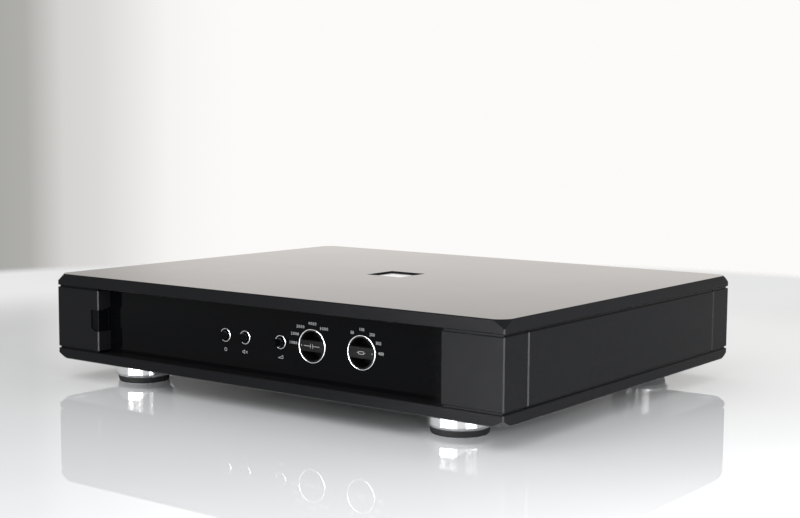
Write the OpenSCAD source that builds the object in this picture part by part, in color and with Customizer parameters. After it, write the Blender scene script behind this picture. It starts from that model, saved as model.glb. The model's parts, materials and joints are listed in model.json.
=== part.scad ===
// Full-width phono preamplifier: two thick plates over a band of corner posts and panels,
// with the controls in a recess between the front posts and the sockets in one at the rear.
// Millimetres. X runs right, Y runs back and Z up. The origin is on the surface that the feet
// stand on, under the middle of the case.

/* [Case] */
// Width of the plates
case_w = 432; // [426:1:450]
// Depth of the plates
case_d = 347; // [345:1:370]
// Thickness of the bottom plate
bottom_t = 8.35; // [8:0.05:10]
// Thickness of the top plate
top_t = 9.45; // [9:0.05:12]
// Height of the posts and side panels between the grooves
block_h = 49.1; // [48:0.1:54]
// Height of the shadow groove between a plate and a post
groove_h = 1.3; // [0.8:0.1:2]
// Depth of the groove in the outer faces
groove_in = 1.5; // [1.3:0.1:3]
// Bevel along the long edges
edge_bevel = 0.6; // [0.3:0.1:0.8]
// Bevel along the upright edges
corner_bevel = 0.8; // [0.5:0.1:1.5]
// Radius of the plates' rounded corner at the outer face
corner_r = 13; // [9:0.5:16]
// Height of the coned facet on a top plate corner
top_facet = 6.4; // [4:0.1:7]
// Height of the coned facet on a bottom plate corner
bottom_facet = 5; // [4:0.1:6]

/* [Posts and panels] */
// Width of a corner post
post_w = 49; // [47:1:52]
// Depth of a corner post
post_d = 29; // [28:1:34]
// Thickness of a side panel
side_t = 8; // [6:0.5:10]
// Gap between a side panel's face and a post
joint_gap = 0.8; // [0.5:0.1:1.5]
// Depth of the front recess
front_recess = 13; // [12:0.5:14]
// Depth of the rear recess
rear_recess = 16; // [15.5:0.5:17]
// Thickness of the gloss front panel
fascia_t = 4; // [3:0.5:4]
// Thickness of the plate behind the front panel
subpanel_t = 2; // [1.5:0.5:2.5]
// Thickness of the rear panel
rear_t = 2.5; // [2:0.5:3]
// Side of the square window in the top plate
window_w = 34.5; // [30:0.5:40]
// Depth of the square window
window_depth = 2.5; // [2:0.1:3]
// Thickness of the polished plate in the window
inlay_t = 1.3; // [1:0.1:1.5]

/* [Feet] */
// Radius of a foot
foot_r = 23.4; // [22:0.1:26]
// Height of a foot's metal part
foot_h = 12.2; // [11:0.1:14]
// Bevel round the bottom of a foot
foot_bevel = 2.5; // [2:0.1:3.5]
// Height of the rubber under a foot
pad_h = 4.5; // [3:0.5:6]
// Distance of a foot's centre from the case's middle, across
foot_x = 156.4; // [150:0.1:165]
// Distance of a foot's centre from the front or rear edge
foot_edge = 39; // [38:1:45]

/* [Controls] */
// Radius of a dial
dial_r = 11.2; // [10.8:0.1:11.3]
// Outer radius of a dial's ring
dial_ring_r = 12.55; // [12.5:0.05:13]
// Width of a dial ring's bright line
dial_line = 1.1; // [1:0.05:1.15]
// Height of the grip bar across a dial
grip_h = 8.4; // [7:0.1:9]
// Bevel along both sides of the grip bar
grip_bevel = 0.35; // [0.2:0.05:0.5]
// Depth of the finger pockets beside the grip bar
pocket_deep = 12.5; // [10:0.5:12.5]
// Wall round the finger pockets
pocket_wall = 0.6; // [0.5:0.1:1]
// Radius of a push button
button_r = 2; // [1.8:0.1:2.2]
// Radius of the sleeve that a push button slides in
sleeve_r = 3.3; // [3:0.1:3.6]
// How far a sleeve stands out of the panel
sleeve_out = 3.4; // [2.5:0.1:4]
// Outer radius of a button's ring
button_ring_r = 5.2; // [5.2:0.05:5.6]
// Width of a button ring's bright line
button_line = 0.8; // [0.7:0.05:0.9]
// How far a button stands out when it is not latched
button_out = 7.8; // [7.5:0.1:8.5]
// Travel of a button from out to latched
latch_travel = 4.2; // [3:0.1:4.2]

/* [Hidden] */
$fn = 64;

// Colours
satin_black = [0.10, 0.10, 0.105];
gloss_black = [0.02, 0.02, 0.025];
dark_plastic = [0.06, 0.06, 0.06];
rubber_black = [0.05, 0.05, 0.05];
bright_metal = [0.85, 0.86, 0.88];
steel = [0.60, 0.61, 0.63];
gold = [0.83, 0.65, 0.30];
board_green = [0.05, 0.28, 0.16];
insulator_white = [0.92, 0.92, 0.90];
tape_yellow = [0.75, 0.62, 0.25];
sleeve_blue = [0.10, 0.12, 0.30];
relay_grey = [0.85, 0.85, 0.82];

// Levels, from the surface upwards
half_w = case_w / 2;
half_d = case_d / 2;
stand_h = foot_h + pad_h;
bottom_top = stand_h + bottom_t;
band_lo = bottom_top + groove_h;
band_hi = band_lo + block_h;
top_lo = band_hi + groove_h;
total_h = top_lo + top_t;
control_z = (band_lo + band_hi) / 2;

// Depths, from the front backwards
fascia_y = -half_d + front_recess;
subpanel_y = fascia_y + fascia_t;
subpanel_back = subpanel_y + subpanel_t;
rear_face = half_d - rear_recess;
rear_inner = rear_face - rear_t;

// Depth of the groove in a post's faces towards the panels
inner_groove_in = 1.2;

// Fits, from the loosest to the closest, and how far a cut runs past a face
gap = 0.3;
loose = 0.2;
slip = 0.1;
running = 0.05;
cut = 1;

// Cut corners of moulded bodies and of the slots in them
body_cut = 0.6;
slot_cut = 0.2;

// Ends of the front and rear panels, which sit in slots in the posts
slot_deep = 2.3;
panel_half = half_w - post_w + slot_deep - gap;

// Places of the controls along the panel
mono_x = -39;
mute_x = -19;
gain_x = 16;
capacitance_x = 46;
load_x = 91;
dial_xs = [capacitance_x, load_x];
button_xs = [mono_x, mute_x, gain_x];

// Dials and their shafts
ring_proud = 0.5;
ring_t = 3.5;
dial_t = 17;
dial_face = fascia_y - ring_proud;
dial_back = dial_face + dial_t;
pocket_r = dial_r - pocket_wall;
shaft_r = 3;
shaft_in_dial = 3.5;
shaft_len = 14;
mark_r = 0.55;
mark_deep = 0.25;
mark_at = 9.6;

// Rotary switches, push switches and the board that they stand on
board_t = 1.6;
control_board_y = fascia_y + 32;
control_board_left = mono_x - 18;
control_board_right = load_x + 22;
control_board_in = 4;
control_post_xs = [mono_x - 12, load_x + 17];
control_post_zs = [control_z - 13, control_z + 13];
rotary_r = 12.5;
rotary_front = fascia_y + 20.5;
bushing_r = 4.7;
bushing_front = fascia_y + 18;
push_w = 12;
push_front = fascia_y + 17;
sleeve_bore_end = fascia_y + 12;
button_bevel = 0.35;
button_back = fascia_y + 5;
plunger_r = 1.6;
plunger_end = fascia_y + 23;
plunger_room = 12;

// Power button in the notch of the left front post
notch_w = 8.8;
notch_lo = control_z - 8.5;
notch_hi = control_z + 8.7;
notch_cut_w = 4.8;
notch_cut_h = 2.4;
notch_rise = 1.8;
notch_rise_from = 5;
power_setback = 1;
power_bevel = 0.5;
power_len = 8.5;
power_rod_r = 2.5;
power_rod_x = -half_w + post_w - 5.9;
power_rod_end = fascia_y + 24.5;
power_switch_y = -half_d + post_d;
power_switch_size = [20, 22];
power_switch_len = 26;
power_rod_room = 12;

// Places of the sockets along the rear panel
mains_x = -135;
output_xlr_xs = [-88, -58];
output_rca_xs = [-30, -10];
ground_x = 13;
input_rca_xs = [36, 56];
input_xlr_xs = [86, 116];
rca_xs = concat(output_rca_xs, input_rca_xs);
xlr_xs = concat(output_xlr_xs, input_xlr_xs);

// Round three-pin sockets
xlr_flange = [26, 31];
xlr_flange_t = 2;
xlr_flange_cut = 2;
xlr_body_r = 11.6;
xlr_body_len = 16;
xlr_cavity_r = 9.4;
xlr_cavity_deep = 15;
xlr_insert_r = 7.4;
xlr_insert_in = 0.5;
xlr_pin_r = 1.2;
xlr_pin_at = 4.6;
xlr_pin_len = 12.5;
xlr_screw = [9.8, 12.2];
latch_size = [8.4, 6, 2.6];
latch_z = 12.1;
latch_proud = 1.5;
latch_room = 0.8;

// Phono sockets
rca_barrel_r = 4.15;
rca_barrel_len = 8.5;
rca_nut_r = 7;
rca_nut_t = 2;
rca_bore_r = 3.3;
rca_thread_r = 4.7;
rca_back_len = 7;
rca_back_nut_r = 6.5;
rca_back_wall = 1;
rca_hole_r = 1.65;
rca_hole_deep = 9;
rca_insulator_in = 0.4;

// Ground terminal
ground_r = 2;
ground_base_r = 5.2;
ground_base_t = 2.4;
ground_stud_len = 13.5;
ground_tail_len = 6;
ground_lock_r = 4.2;
ground_lock_t = 2.4;
washer_r = 5;
washer_t = 1;
nut_r = 5.8;
nut_t = 6.2;
nut_flutes = 20;
flute_r = 0.55;
flute_from = 1;

// Mains inlet with its fuse drawer
inlet_flange = [50, 33];
inlet_flange_t = 2.5;
inlet_flange_cut = 5;
inlet_body = [28, 31];
inlet_body_len = 22;
inlet_cavity = [24.2, 16.6];
inlet_cavity_z = 5.5;
inlet_cavity_deep = 16;
blade = [2, 4];
blade_x = 7;
blade_drop = 2;
blade_tail = 4;
drawer = [22, 8.2];
drawer_z = -9.2;
drawer_len = 21;
drawer_lip = [22.4, 9.2];
drawer_lip_t = 1.8;
drawer_wall = 0.9;
drawer_room_wall = 1.4;
fuse_r = 2.5;
fuse_glass_r = 2.25;
fuse_len = 20;
fuse_cap = 5;
fuse_y = rear_face - 6;
inlet_screw_x = 20;

// Inside
corner_screw_in = 12;
corner_thread = 10;
screw_r = 2;
screw_head_r = 4.75;
screw_head_t = 1.6;
rear_screw_r = 1.4;
rear_screw_tip = 3;
foot_screw_r = 2.5;
foot_head_r = 4.5;
foot_head_t = 4;
trafo_at = [-100, -62];
trafo_r = 47;
trafo_hole_r = 12;
trafo_h = 38;
trafo_round = 9;
trafo_pad_t = 2;
trafo_bolt_r = 3;
trafo_dish_r = 34;
standoff_h = 8;
standoff_r = 3;
board_screw_r = 1.5;
board_screw_head_r = 2.6;
board_screw_head_t = 1.6;
board_z = bottom_top + standoff_h;
power_board_lo = [-155, 12];
power_board_hi = [-38, 122];
audio_board_lo = [-18, -70];
audio_board_hi = [160, 128];
board_in = 6;
shield_x = -29;
shield_from = -125;
shield_to = 130;
shield_short = 6;
shield_foot_w = 7;
inlay_bevel = 0.15;

// ---- Shapes that the parts share ----

// Box between two opposite corners
module span(lo, hi) {
    translate(lo) cube(hi - lo);
}

// Round bar along Y from y0 to y1
module bar_y(x, z, y0, y1, r) {
    translate([x, y0, z]) rotate([-90, 0, 0]) cylinder(h = y1 - y0, r = r);
}

// Round bar along Y from y0 to y1 with a bevel round its front end
module bevelled_bar_y(x, z, y0, y1, r, bevel) {
    translate([x, y0, z]) rotate([-90, 0, 0]) rotate_extrude() polygon([
        [0, 0], [r - bevel, 0], [r, bevel], [r, y1 - y0], [0, y1 - y0]
    ]);
}

// Rectangle with cut corners, centred on the origin
module cut_rect(w, h, c) {
    polygon([
        [-w / 2 + c, -h / 2], [w / 2 - c, -h / 2], [w / 2, -h / 2 + c], [w / 2, h / 2 - c],
        [w / 2 - c, h / 2], [-w / 2 + c, h / 2], [-w / 2, h / 2 - c], [-w / 2, -h / 2 + c]
    ]);
}

// Slab with cut corners whose face looks back, from y0 to y1
module slab_y(x, z, size, y0, y1, c) {
    translate([x, y1, z]) rotate([90, 0, 0]) linear_extrude(height = y1 - y0)
        cut_rect(size[0], size[1], c);
}

// Block centred in plan and standing on z = 0, with every edge bevelled
module bevelled_block(w, d, h, edge, corner) {
    translate([0, 0, h / 2]) intersection() {
        linear_extrude(height = h, center = true) cut_rect(w, d, corner);
        rotate([90, 0, 0]) linear_extrude(height = d, center = true) cut_rect(w, h, edge);
        rotate([0, 90, 0]) linear_extrude(height = w, center = true) cut_rect(h, d, edge);
    }
}

// Repeats its children at the four feet, or at the four corners
module at_four(x, y) {
    for (sx = [-1, 1], sy = [-1, 1]) translate([sx * x, sy * y, 0]) children();
}

// What a plate loses at its corners: all outside a cone that widens downwards
module corner_loss(depth) {
    reach = corner_r + cut;
    for (sx = [0, 1], sy = [0, 1])
        mirror([sx, 0, 0]) mirror([0, sy, 0])
            translate([half_w - corner_r, half_d - corner_r, -depth]) difference() {
                cube([reach, reach, depth + cut]);
                cylinder(h = depth, r1 = corner_r * sqrt(2), r2 = corner_r);
            }
}

// ---- Case ----

module top_plate() {
    color(satin_black) difference() {
        translate([0, 0, top_lo]) bevelled_block(case_w, case_d, top_t, edge_bevel, corner_bevel);
        translate([0, 0, total_h]) corner_loss(top_facet);
        translate([-window_w / 2, -window_w / 2, total_h - window_depth])
            cube([window_w, window_w, window_depth + cut]);
    }
}

module bottom_plate() {
    color(satin_black) difference() {
        translate([0, 0, stand_h]) bevelled_block(case_w, case_d, bottom_t, edge_bevel, corner_bevel);
        translate([0, 0, stand_h]) mirror([0, 0, 1]) corner_loss(bottom_facet);
        at_four(half_w - corner_screw_in, half_d - corner_screw_in) {
            translate([0, 0, stand_h - cut]) cylinder(h = screw_head_t + cut, r = screw_head_r + gap);
            translate([0, 0, stand_h]) cylinder(h = bottom_t + cut, r = screw_r + gap);
        }
        at_four(foot_x, half_d - foot_edge)
            translate([0, 0, stand_h - cut]) cylinder(h = bottom_t / 2 + cut, r = foot_screw_r + gap);
        translate([trafo_at[0], trafo_at[1], bottom_top - bottom_t / 2])
            cylinder(h = bottom_t, r = trafo_bolt_r + gap);
    }
}

// Polished bare plate in the top plate's window
module top_inlay() {
    w = window_w - gap;
    color(bright_metal) translate([0, 0, total_h - window_depth])
        bevelled_block(w, w, inlay_t, inlay_bevel, inlay_bevel);
}

// Corner post with its outer corner at the right front. The slot holds a panel's end.
module corner_post(slot_from, slot_t) {
    inner = half_w - post_w;
    difference() {
        union() {
            translate([half_w - post_w / 2, -half_d + post_d / 2, band_lo])
                bevelled_block(post_w, post_d, block_h, edge_bevel, corner_bevel);
            span([inner + inner_groove_in, -half_d + groove_in, bottom_top],
                 [half_w - groove_in, -half_d + post_d - inner_groove_in, top_lo]);
        }
        span([inner - cut, -half_d + slot_from, bottom_top - cut],
             [inner + slot_deep, -half_d + slot_from + slot_t, top_lo + cut]);
        translate([half_w - corner_screw_in, -half_d + corner_screw_in, bottom_top - cut])
            cylinder(h = block_h / 2, r = screw_r + gap / 2);
    }
}

module front_right_post() {
    color(satin_black) corner_post(front_recess, fascia_t + subpanel_t);
}

// The left front post has a notch round its inner edge for the power button
module front_left_post() {
    inner = -half_w + post_w;
    color(satin_black) difference() {
        mirror([1, 0, 0]) corner_post(front_recess, fascia_t + subpanel_t);
        translate([0, fascia_y, 0]) rotate([90, 0, 0]) linear_extrude(height = front_recess + cut)
            notch_outline(0);
        translate([inner - notch_w, 0, 0]) rotate([90, 0, 90]) linear_extrude(height = notch_w + cut)
            polygon([
                [-half_d + notch_rise_from, notch_hi - cut], [-half_d + notch_rise_from, notch_hi],
                [fascia_y - cut, notch_hi + notch_rise], [fascia_y, notch_hi + notch_rise],
                [fascia_y, notch_hi - cut]
            ]);
        bar_y(power_rod_x, control_z, fascia_y - cut, -half_d + post_d + cut, power_rod_r + loose);
    }
}

module rear_right_post() {
    color(satin_black) mirror([0, 1, 0]) corner_post(rear_recess, rear_t);
}

module rear_left_post() {
    color(satin_black) mirror([1, 0, 0]) mirror([0, 1, 0]) corner_post(rear_recess, rear_t);
}

// Side panel at the right. Its lap at both ends meets the posts, and its core meets the plates.
module side_panel() {
    lap_y = half_d - post_d;
    lap_in = 2.5;
    color(satin_black) {
        translate([half_w - side_t / 2, 0, band_lo])
            bevelled_block(side_t, 2 * (lap_y - joint_gap), block_h, edge_bevel, corner_bevel);
        span([half_w - side_t, -lap_y, band_lo], [half_w - lap_in, lap_y, band_hi]);
        span([half_w - side_t, -lap_y, bottom_top], [half_w - groove_in, lap_y, top_lo]);
    }
}

module right_side_panel() {
    side_panel();
}

module left_side_panel() {
    mirror([1, 0, 0]) side_panel();
}

module front_panel() {
    color(gloss_black) difference() {
        span([-panel_half, fascia_y, bottom_top], [panel_half, subpanel_y, top_lo]);
        for (x = dial_xs) bar_y(x, control_z, fascia_y - cut, subpanel_y + cut, dial_ring_r + running);
        for (x = button_xs) bar_y(x, control_z, fascia_y - cut, subpanel_y + cut, button_ring_r + running);
    }
}

module front_subpanel() {
    color(steel) difference() {
        span([-panel_half, subpanel_y, bottom_top], [panel_half, subpanel_back, top_lo]);
        for (x = dial_xs) bar_y(x, control_z, subpanel_y - cut, subpanel_back + cut, dial_ring_r);
        for (x = button_xs) bar_y(x, control_z, subpanel_y - cut, subpanel_back + cut, button_ring_r);
    }
}

module rear_panel() {
    color(satin_black) difference() {
        span([-panel_half, rear_inner, bottom_top], [panel_half, rear_face, top_lo]);
        for (x = xlr_xs) bar_y(x, control_z, rear_inner - cut, rear_face + cut, xlr_body_r + gap);
        for (x = input_xlr_xs)
            slab_y(x, control_z + latch_z, [latch_size[0] + 2 * latch_room, latch_size[2] + 2 * latch_room],
                   rear_inner - cut, rear_face + cut, slot_cut);
        for (x = rca_xs) bar_y(x, control_z, rear_inner - cut, rear_face + cut, rca_thread_r + gap);
        bar_y(ground_x, control_z, rear_inner - cut, rear_face + cut, ground_r + gap);
        slab_y(mains_x, control_z, [inlet_body[0] + 2 * gap, inlet_body[1] + 2 * gap],
               rear_inner - cut, rear_face + cut, body_cut);
        for (p = rear_screw_points())
            bar_y(p[0], p[1], rear_inner - cut, rear_face + cut, rear_screw_r + gap / 2);
    }
}

// ---- Feet and fasteners ----

module foot(sx, sy) {
    color(bright_metal) translate([sx * foot_x, sy * (half_d - foot_edge), pad_h])
        rotate_extrude() polygon([
            [foot_head_r + gap, 0], [foot_r - foot_bevel, 0], [foot_r, foot_bevel],
            [foot_r, foot_h], [foot_screw_r + gap, foot_h],
            [foot_screw_r + gap, foot_head_t], [foot_head_r + gap, foot_head_t]
        ]);
}

module foot_pad(sx, sy) {
    r = foot_r - foot_bevel;
    taper = 1.2;
    toe_h = 0.9;
    rim_h = 0.6;
    color(rubber_black) translate([sx * foot_x, sy * (half_d - foot_edge), 0]) rotate_extrude() polygon([
        [0, 0], [r - taper, 0], [r - taper / 2, toe_h], [r, pad_h - rim_h], [r, pad_h], [0, pad_h]
    ]);
}

module front_left_foot() {
    foot(-1, -1);
}

module front_right_foot() {
    foot(1, -1);
}

module rear_left_foot() {
    foot(-1, 1);
}

module rear_right_foot() {
    foot(1, 1);
}

module front_left_pad() {
    foot_pad(-1, -1);
}

module front_right_pad() {
    foot_pad(1, -1);
}

module rear_left_pad() {
    foot_pad(-1, 1);
}

module rear_right_pad() {
    foot_pad(1, 1);
}

// Cap screw that holds a foot to the bottom plate
module foot_screw() {
    shank = foot_h - foot_head_t + bottom_t / 2 - gap;
    translate([0, 0, pad_h + gap]) cylinder(h = foot_head_t - gap, r = foot_head_r);
    translate([0, 0, pad_h + foot_head_t]) cylinder(h = shank, r = foot_screw_r);
}

// Screw with a flat head under a corner, which holds a post
module corner_screw() {
    socket_r = 1.8;
    thread = bottom_t + corner_thread;
    difference() {
        union() {
            translate([0, 0, stand_h]) cylinder(h = screw_head_t, r = screw_head_r);
            translate([0, 0, stand_h + screw_head_t]) cylinder(h = thread, r = screw_r);
        }
        translate([0, 0, stand_h - cut]) cylinder(h = screw_head_t, r = socket_r, $fn = 6);
    }
}

// All the screws that go up through the bottom plate
module base_screws() {
    color(steel) {
        at_four(foot_x, half_d - foot_edge) foot_screw();
        at_four(half_w - corner_screw_in, half_d - corner_screw_in) corner_screw();
    }
}

// Places of the small screws on the rear panel, as [x, z]
function rear_screw_points() = concat(
    [for (x = xlr_xs, s = [-1, 1]) [x + s * xlr_screw[0], control_z - s * xlr_screw[1]]],
    [for (s = [-1, 1]) [mains_x + s * inlet_screw_x, control_z]]
);

// Top of what a rear screw's head rests on
function screw_seat(p) = abs(p[0] - mains_x) < inlet_flange[0] / 2 ? inlet_flange_t : xlr_flange_t;

module rear_screws() {
    head_r = 2.6;
    head_t = 1.2;
    socket_r = 1;
    socket_from = 0.5;
    color(steel) for (p = rear_screw_points()) difference() {
        union() {
            bar_y(p[0], p[1], rear_inner - rear_screw_tip, rear_face + screw_seat(p), rear_screw_r);
            bar_y(p[0], p[1], rear_face + screw_seat(p), rear_face + screw_seat(p) + head_t, head_r);
        }
        translate([p[0], rear_face + screw_seat(p) + socket_from, p[1]]) rotate([-90, 0, 0])
            cylinder(h = head_t, r = socket_r, $fn = 6);
    }
}

// ---- Dials ----

// What is above the grip bar, whose edge is bevelled
module above_grip() {
    half = grip_h / 2;
    rotate([90, 0, 90]) linear_extrude(height = 2 * dial_r, center = true) polygon([
        [-2 * cut, half - grip_bevel - 2 * cut], [grip_bevel, half], [pocket_deep + cut, half],
        [pocket_deep + cut, dial_r], [-2 * cut, dial_r]
    ]);
}

// Dial at rest: a grip bar between two finger pockets, with a mark at the end that side names
module dial(x, side) {
    color(satin_black) translate([x, dial_face, control_z]) difference() {
        bar_y(0, 0, 0, dial_t, dial_r);
        for (s = [0, 1]) mirror([0, 0, s]) intersection() {
            bar_y(0, 0, -cut, pocket_deep, pocket_r);
            above_grip();
        }
        bar_y(side * mark_at, 0, -cut, mark_deep, mark_r);
        bar_y(0, 0, dial_t - shaft_in_dial - gap, dial_t + cut, shaft_r + running);
    }
}

module capacitance_knob() {
    dial(capacitance_x, -1);
}

module load_knob() {
    dial(load_x, 1);
}

module dial_shaft(x) {
    from = dial_back - shaft_in_dial;
    color(steel) bar_y(x, control_z, from, from + shaft_len, shaft_r);
}

module capacitance_shaft() {
    dial_shaft(capacitance_x);
}

module load_shaft() {
    dial_shaft(load_x);
}

// Bright ring set in the panel, with a rounded front that stands a little proud of it
module panel_ring(x, r, line) {
    color(bright_metal) translate([x, fascia_y - ring_proud, control_z]) rotate([-90, 0, 0])
        rotate_extrude() {
            translate([r - line / 2, line / 2]) circle(r = line / 2);
            translate([r - line, line / 2]) square([line, ring_t - line / 2]);
        }
}

module dial_rings() {
    for (x = dial_xs) panel_ring(x, dial_ring_r, dial_line);
}

module button_rings() {
    for (x = button_xs) panel_ring(x, button_ring_r, button_line);
}

// Rotary switches with their bushings, in which the shafts turn
module rotary_switches() {
    shaft_room = 9.5;
    color(dark_plastic) for (x = dial_xs) difference() {
        union() {
            bar_y(x, control_z, bushing_front, rotary_front, bushing_r);
            bar_y(x, control_z, rotary_front, control_board_y, rotary_r);
        }
        bar_y(x, control_z, bushing_front - cut, rotary_front + shaft_room, shaft_r + running);
    }
}

// ---- Buttons ----

// Button with its plunger; pressed is how far in it stands at rest
module push_button(x, pressed) {
    front = fascia_y - button_out + pressed;
    color(gloss_black) {
        bevelled_bar_y(x, control_z, front, button_back + pressed, button_r, button_bevel);
        bar_y(x, control_z, button_back + pressed, plunger_end + pressed, plunger_r);
    }
}

module mono_button() {
    push_button(mono_x, latch_travel);
}

module mute_button() {
    push_button(mute_x, latch_travel);
}

module gain_button() {
    push_button(gain_x, 0);
}

// Push switches, each with the sleeve that its button slides in
module button_switches() {
    sleeve_front = fascia_y - sleeve_out;
    color(gloss_black) for (x = button_xs) difference() {
        union() {
            bevelled_bar_y(x, control_z, sleeve_front, push_front, sleeve_r, button_bevel);
            slab_y(x, control_z, [push_w, push_w], push_front, control_board_y, body_cut);
        }
        bar_y(x, control_z, sleeve_front - cut, sleeve_bore_end, button_r + slip);
        bar_y(x, control_z, sleeve_bore_end - cut, push_front + plunger_room, plunger_r + loose);
    }
}

module control_board() {
    color(board_green)
        span([control_board_left, control_board_y, band_lo + control_board_in],
             [control_board_right, control_board_y + board_t, band_hi - control_board_in]);
}

// Front view of the notch, drawn in by shrink on its closed sides
module notch_outline(shrink) {
    inner = -half_w + post_w;
    left = inner - notch_w + shrink;
    right = inner + (shrink > 0 ? -power_setback : cut);
    lo = notch_lo + shrink;
    hi = notch_hi - shrink;
    polygon([
        [left, hi], [left, lo + notch_cut_h], [left + notch_cut_w, lo], [right, lo], [right, hi]
    ]);
}

// Power button with its rod. The upright edge towards the recess is bevelled.
module power_button() {
    front = -half_d + power_setback;
    side = -half_w + post_w - power_setback;
    color(gloss_black) {
        difference() {
            translate([0, front + power_len, 0]) rotate([90, 0, 0]) linear_extrude(height = power_len)
                notch_outline(loose);
            translate([0, 0, notch_lo]) linear_extrude(height = notch_hi - notch_lo) polygon([
                [side - power_bevel - cut, front - cut], [side + cut, front - cut],
                [side + cut, front + power_bevel + cut]
            ]);
        }
        bar_y(power_rod_x, control_z, front + power_len, power_rod_end, power_rod_r);
    }
}

module power_switch() {
    color(dark_plastic) difference() {
        slab_y(power_rod_x, control_z, power_switch_size, power_switch_y,
               power_switch_y + power_switch_len, body_cut);
        bar_y(power_rod_x, control_z, power_switch_y - cut, power_switch_y + power_rod_room,
              power_rod_r + loose);
    }
}

// ---- Mains inlet ----

module mains_inlet() {
    back = rear_face - inlet_body_len;
    front = rear_face + inlet_flange_t;
    color(dark_plastic) difference() {
        union() {
            slab_y(mains_x, control_z, inlet_flange, rear_face, front, inlet_flange_cut);
            slab_y(mains_x, control_z, inlet_body, back, rear_face, body_cut);
        }
        slab_y(mains_x, control_z + inlet_cavity_z, inlet_cavity,
               front - inlet_cavity_deep, front + cut, body_cut);
        slab_y(mains_x, control_z + drawer_z, [drawer[0] + 2 * gap, drawer[1] + 2 * gap],
               back + drawer_room_wall, front + cut, slot_cut);
        for (i = [-1, 0, 1])
            slab_y(mains_x + i * blade_x, control_z + blade_z(i), blade, back - cut, front, slot_cut);
        for (s = [-1, 1])
            bar_y(mains_x + s * inlet_screw_x, control_z,
                  rear_face - cut, front + cut, rear_screw_r + gap / 2);
    }
}

// The middle blade, for earth, stands higher than the other two
function blade_z(i) = inlet_cavity_z + (i == 0 ? blade_drop : -blade_drop);

module mains_blades() {
    front = rear_face + inlet_flange_t - blade_drop;
    color(steel) for (i = [-1, 0, 1])
        slab_y(mains_x + i * blade_x, control_z + blade_z(i), blade - [slip, slip],
               rear_face - inlet_body_len - blade_tail, front, slot_cut);
}

module fuse_drawer() {
    seat = rear_face + inlet_flange_t + slip;
    room = 3.3;
    half = drawer[0] / 2 - drawer_wall;
    z = control_z + drawer_z;
    color(dark_plastic) difference() {
        union() {
            slab_y(mains_x, z, drawer, seat - drawer_len, seat, slot_cut);
            slab_y(mains_x, z, drawer_lip, seat, seat + drawer_lip_t, body_cut);
        }
        span([mains_x - half, fuse_y - room, z - drawer[1] / 2 + drawer_wall],
             [mains_x + half, fuse_y + room, z + drawer[1] / 2 + cut]);
    }
}

// Glass tube fuse with a metal cap on each end, lying across the drawer
module fuse() {
    z = control_z + drawer_z - drawer[1] / 2 + drawer_wall + fuse_r + running;
    body_len = fuse_len - 2 * fuse_cap;
    color(bright_metal) translate([mains_x - fuse_len / 2, fuse_y, z]) rotate([0, 90, 0]) {
        cylinder(h = fuse_cap, r = fuse_r);
        translate([0, 0, fuse_cap]) cylinder(h = body_len, r = fuse_glass_r);
        translate([0, 0, fuse_cap + body_len]) cylinder(h = fuse_cap, r = fuse_r);
    }
}

// ---- Signal sockets ----

// Places of the three contacts round a socket's middle
function contact(i) = [xlr_pin_at * cos(30 + 120 * i), xlr_pin_at * sin(30 + 120 * i)];

module xlr_shell(x) {
    front = rear_face + xlr_flange_t;
    difference() {
        union() {
            slab_y(x, control_z, xlr_flange, rear_face, front, xlr_flange_cut);
            bar_y(x, control_z, front - xlr_flange_t - xlr_body_len, rear_face, xlr_body_r);
        }
        bar_y(x, control_z, front - xlr_cavity_deep, front + cut, xlr_cavity_r);
        for (s = [-1, 1])
            bar_y(x + s * xlr_screw[0], control_z - s * xlr_screw[1],
                  rear_face - cut, front + cut, rear_screw_r + gap / 2);
    }
}

module output_xlr_sockets() {
    color(dark_plastic) for (x = output_xlr_xs) xlr_shell(x);
}

module output_xlr_pins() {
    back = rear_face + xlr_flange_t - xlr_cavity_deep;
    color(gold) for (x = output_xlr_xs, i = [0:2])
        bar_y(x + contact(i)[0], control_z + contact(i)[1], back, back + xlr_pin_len, xlr_pin_r);
}

// Input sockets have a slot for the latch
module input_xlr_sockets() {
    front = rear_face + xlr_flange_t;
    color(dark_plastic) for (x = input_xlr_xs) difference() {
        xlr_shell(x);
        slab_y(x, control_z + latch_z, [latch_size[0] + 2 * gap, latch_size[2] + 2 * gap],
               front - latch_size[1] - gap, front + cut, slot_cut);
    }
}

// Inserts of the input sockets, with a contact hole for each pin of the plug
module input_xlr_inserts() {
    front = rear_face + xlr_flange_t;
    hole_deep = 12;
    color(dark_plastic) for (x = input_xlr_xs) difference() {
        bar_y(x, control_z, front - xlr_cavity_deep, front - xlr_insert_in, xlr_insert_r);
        for (i = [0:2])
            bar_y(x + contact(i)[0], control_z + contact(i)[1],
                  front - hole_deep, front + cut, xlr_pin_r + slip);
    }
}

module latch(x) {
    front = rear_face + xlr_flange_t + latch_proud;
    color(steel) slab_y(x, control_z + latch_z, [latch_size[0], latch_size[2]],
                        front - latch_size[1], front, body_cut);
}

module left_latch() {
    latch(input_xlr_xs[0]);
}

module right_latch() {
    latch(input_xlr_xs[1]);
}

module rca_sockets() {
    nut_front = rear_face + rca_nut_t;
    color(gold) for (x = rca_xs) difference() {
        union() {
            bar_y(x, control_z, rear_inner - rca_back_len, nut_front, rca_thread_r);
            bar_y(x, control_z, rear_inner - rca_nut_t, rear_inner, rca_back_nut_r);
            translate([x, rear_face, control_z]) rotate([-90, 0, 0])
                cylinder(h = rca_nut_t, r = rca_nut_r, $fn = 6);
            bar_y(x, control_z, nut_front, nut_front + rca_barrel_len, rca_barrel_r);
        }
        bar_y(x, control_z, rear_inner - rca_back_len + rca_back_wall,
              nut_front + rca_barrel_len + cut, rca_bore_r);
    }
}

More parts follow.
